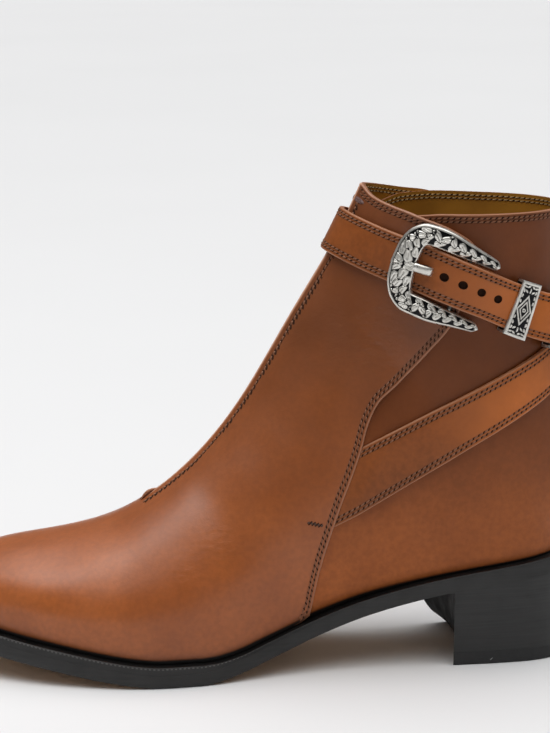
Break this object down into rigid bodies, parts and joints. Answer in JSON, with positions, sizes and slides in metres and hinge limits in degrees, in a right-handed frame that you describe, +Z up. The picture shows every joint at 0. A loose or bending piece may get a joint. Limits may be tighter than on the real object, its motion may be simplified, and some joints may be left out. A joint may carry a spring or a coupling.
{
  "type": "buckle ankle boot",
  "caption": "Ankle-high leather boot with a hollow upper, crossed straps closed by a horseshoe buckle and metal keepers, a welted sole and a stacked block heel.",
  "frame": {"origin": "on the floor, under the middle of the boot's bounding box", "axes": "-X towards the toe, +X towards the heel, -Y towards the outer side of the foot, +Z up"},
  "size_m": [0.3, 0.104, 0.214],
  "materials": {
    "antique_silver": "worn",
    "antique_silver_prong": "worn",
    "strap_leather_inner": "satin",
    "tan_leather_front": "satin",
    "stacked_heel": "satin",
    "lining_leather": "matt",
    "antique_silver_keeper": "worn",
    "strap_leather": "satin",
    "black_sole": "satin",
    "black_rubber": "matt",
    "tan_leather": "satin",
    "black_welt": "satin"
  },
  "bodies": {
    "root": {"buckle_frame": "antique_silver", "buckle_prong": "antique_silver_prong", "buckle_strap": "strap_leather_inner", "front_panel": "tan_leather_front", "heel_stack": "stacked_heel", "insole": "lining_leather", "keeper_1": "antique_silver_keeper", "keeper_2": "antique_silver_keeper", "long_strap": "strap_leather", "outsole": "black_sole", "top_lift": "black_rubber", "upper": "tan_leather", "welt": "black_welt"}
  },
  "joints": []
}
